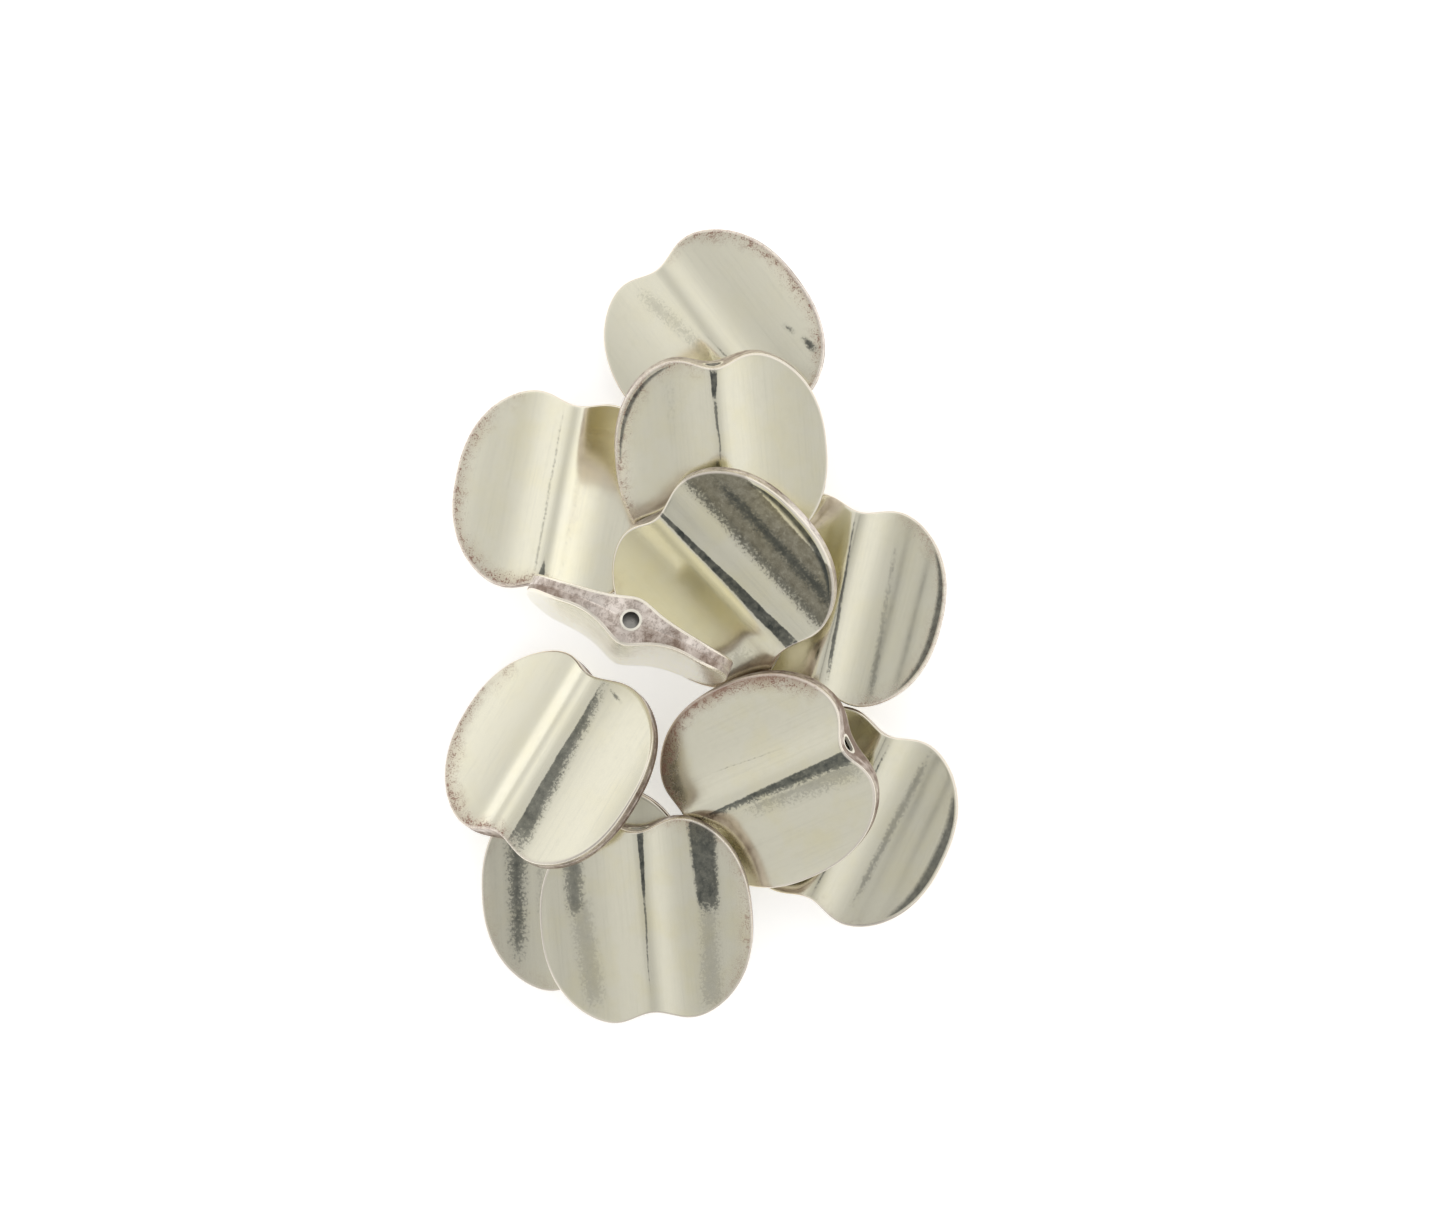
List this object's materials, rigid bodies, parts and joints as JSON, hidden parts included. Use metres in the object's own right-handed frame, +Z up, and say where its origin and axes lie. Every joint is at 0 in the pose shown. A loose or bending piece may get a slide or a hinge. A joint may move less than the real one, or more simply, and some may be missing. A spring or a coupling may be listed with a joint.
{
  "type": "magnetic desk sculpture",
  "caption": "Loose pile of hollow silver-plated petals, each with a crest and a hidden rod magnet, that cling together and can be lifted, pushed and turned.",
  "frame": {"origin": "centre of the pile's bounding box on the table surface", "axes": "+Z up from the table; +Y along the pile's longest side; +X across it"},
  "size_m": [0.1031, 0.1583, 0.0531],
  "materials": {
    "silver_plate": "semi-polished silver plate with dark tarnish bands and coppery rims",
    "nickel_plate": "satin nickel plate",
    "adhesive": "cured amber resin"
  },
  "bodies": {
    "petal_01": {"petal_01_dished_shell": "silver_plate", "petal_01_bowed_shell": "silver_plate", "petal_01_magnet": "nickel_plate", "petal_01_magnet_bed": "adhesive"},
    "petal_02": {"petal_02_dished_shell": "silver_plate", "petal_02_bowed_shell": "silver_plate", "petal_02_magnet": "nickel_plate", "petal_02_magnet_bed": "adhesive"},
    "petal_03": {"petal_03_dished_shell": "silver_plate", "petal_03_bowed_shell": "silver_plate", "petal_03_magnet": "nickel_plate", "petal_03_magnet_bed": "adhesive"},
    "petal_04": {"petal_04_dished_shell": "silver_plate", "petal_04_bowed_shell": "silver_plate", "petal_04_magnet": "nickel_plate", "petal_04_magnet_bed": "adhesive"},
    "petal_05": {"petal_05_dished_shell": "silver_plate", "petal_05_bowed_shell": "silver_plate", "petal_05_magnet": "nickel_plate", "petal_05_magnet_bed": "adhesive"},
    "petal_06": {"petal_06_dished_shell": "silver_plate", "petal_06_bowed_shell": "silver_plate", "petal_06_magnet": "nickel_plate", "petal_06_magnet_bed": "adhesive"},
    "petal_07": {"petal_07_dished_shell": "silver_plate", "petal_07_bowed_shell": "silver_plate", "petal_07_magnet": "nickel_plate", "petal_07_magnet_bed": "adhesive"},
    "petal_08": {"petal_08_dished_shell": "silver_plate", "petal_08_bowed_shell": "silver_plate", "petal_08_magnet": "nickel_plate", "petal_08_magnet_bed": "adhesive"},
    "petal_09": {"petal_09_dished_shell": "silver_plate", "petal_09_bowed_shell": "silver_plate", "petal_09_magnet": "nickel_plate", "petal_09_magnet_bed": "adhesive"},
    "petal_10": {"petal_10_dished_shell": "silver_plate", "petal_10_bowed_shell": "silver_plate", "petal_10_magnet": "nickel_plate", "petal_10_magnet_bed": "adhesive"},
    "petal_11": {"petal_11_dished_shell": "silver_plate", "petal_11_bowed_shell": "silver_plate", "petal_11_magnet": "nickel_plate", "petal_11_magnet_bed": "adhesive"}
  },
  "joints": [
    {"name": "push_petal_03", "type": "slide", "parent": "petal_01", "child": "petal_03", "axis": [-1, 0, 0], "range_m": [0, 0.03]},
    {"name": "push_petal_05", "type": "slide", "parent": "petal_01", "child": "petal_05", "axis": [1, 0, 0], "range_m": [0, 0.03]},
    {"name": "push_petal_08", "type": "slide", "parent": "petal_01", "child": "petal_08", "axis": [0.8, -0.6, 0], "range_m": [0, 0.03]},
    {"name": "push_petal_10", "type": "slide", "parent": "petal_01", "child": "petal_10", "axis": [-0.8192, -0.5735, 0], "range_m": [0, 0.03]},
    {"name": "lift_petal_02", "type": "slide", "parent": "petal_01", "child": "petal_02", "axis": [0, 0, 1], "range_m": [0, 0.015]},
    {"name": "lift_petal_04", "type": "slide", "parent": "petal_02", "child": "petal_04", "axis": [0, 0, 1], "range_m": [0, 0.015]},
    {"name": "lift_petal_07", "type": "slide", "parent": "petal_04", "child": "petal_07", "axis": [0, 0, 1], "range_m": [0, 0.015]},
    {"name": "lift_petal_09", "type": "slide", "parent": "petal_07", "child": "petal_09", "axis": [0, 0, 1], "range_m": [0, 0.015]},
    {"name": "lift_petal_06", "type": "slide", "parent": "petal_09", "child": "petal_06", "axis": [0, 0, 1], "range_m": [0, 0.015]},
    {"name": "turn_petal_11", "type": "hinge", "parent": "petal_04", "child": "petal_11", "pos_m": [-0.0139, -0.0012, 0.0127], "axis": [0, 0, 1], "range_deg": [-30, 0]}
  ]
}
